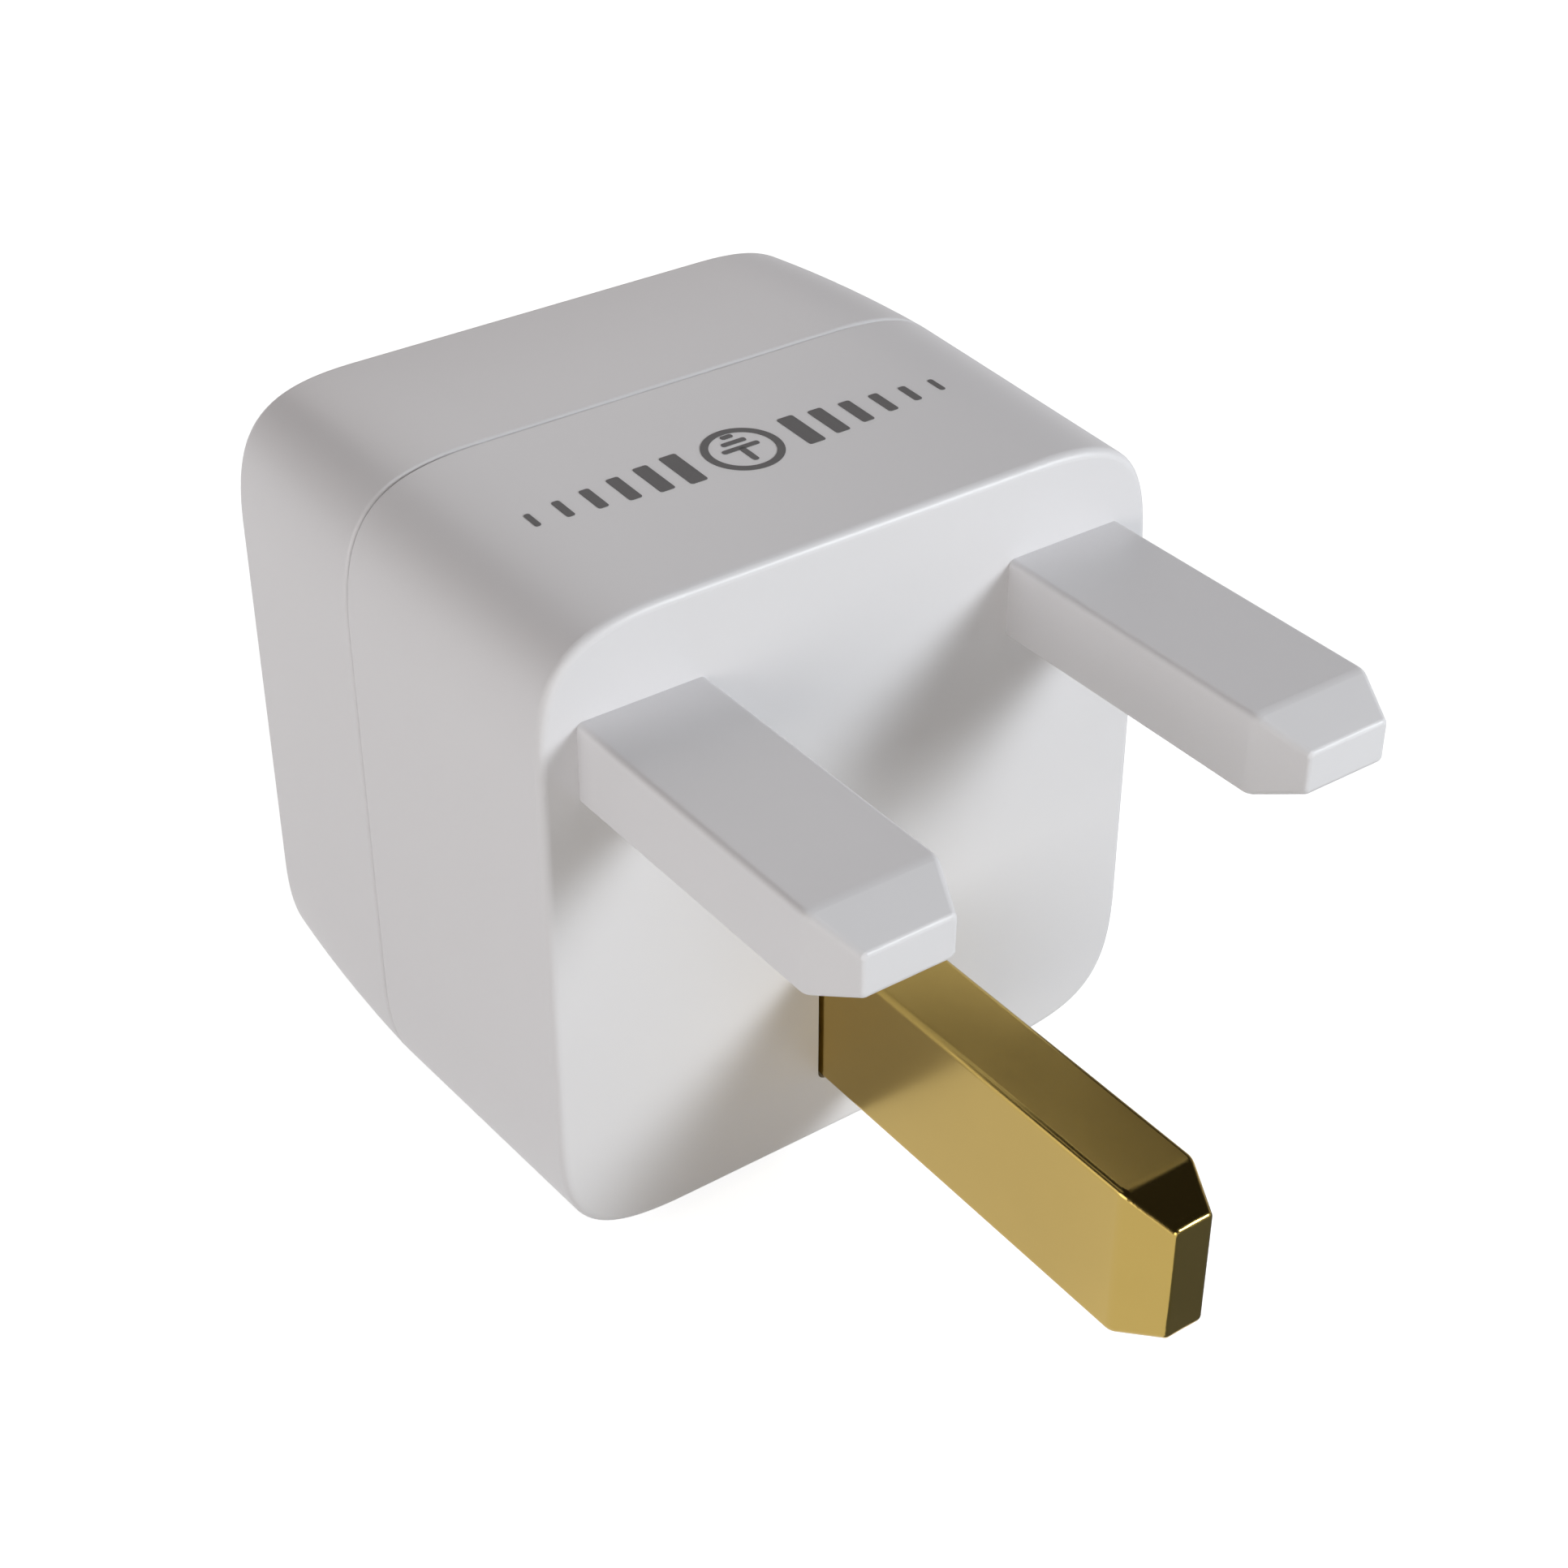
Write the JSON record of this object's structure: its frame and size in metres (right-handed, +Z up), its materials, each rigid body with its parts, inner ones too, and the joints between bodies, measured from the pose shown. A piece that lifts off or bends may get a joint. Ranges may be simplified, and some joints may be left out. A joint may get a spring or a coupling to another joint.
{
  "type": "grounding plug adapter",
  "caption": "Square white moulded grounding plug with dummy plastic line and neutral pins, a brass earth pin and a lead socket in its back wall.",
  "frame": {"origin": "middle of the pin face, the flat face that meets a wall socket", "axes": "+X to the right across the pin face as seen from the pins' side, +Y from the pin face into the body, +Z up towards the line and neutral pins"},
  "size_m": [0.0332, 0.049, 0.0332],
  "materials": {
    "white_abs": "fine satin moulding",
    "polished_brass": "polished",
    "natural_nylon": "as moulded",
    "zinc_steel": "bright zinc plate",
    "tinned_copper": "tinned",
    "bare_copper": "drawn wire",
    "green_insulation": "extruded",
    "resistor_lacquer": "dipped lacquer",
    "shrink_sleeve": "shrunk",
    "nickel_plate": "nickel plate on turned brass",
    "black_nylon": "as moulded",
    "print_ink": "pad-printed"
  },
  "bodies": {
    "root": {"front_housing": "white_abs", "rear_cover": "white_abs", "earth_pin": "polished_brass", "earth_pin_retainer": "natural_nylon", "retainer_screws": "zinc_steel", "terminal_screw": "zinc_steel", "terminal_lock_washer": "zinc_steel", "ring_terminal": "tinned_copper", "lead_conductor": "bare_copper", "lead_insulation": "green_insulation", "safety_resistor": "resistor_lacquer", "resistor_sleeve": "shrink_sleeve", "socket_contact": "nickel_plate", "socket_collar": "black_nylon", "socket_inner_washer": "black_nylon", "solder_tag": "tinned_copper", "socket_lock_washer": "nickel_plate", "socket_nut": "nickel_plate"}
  },
  "joints": []
}
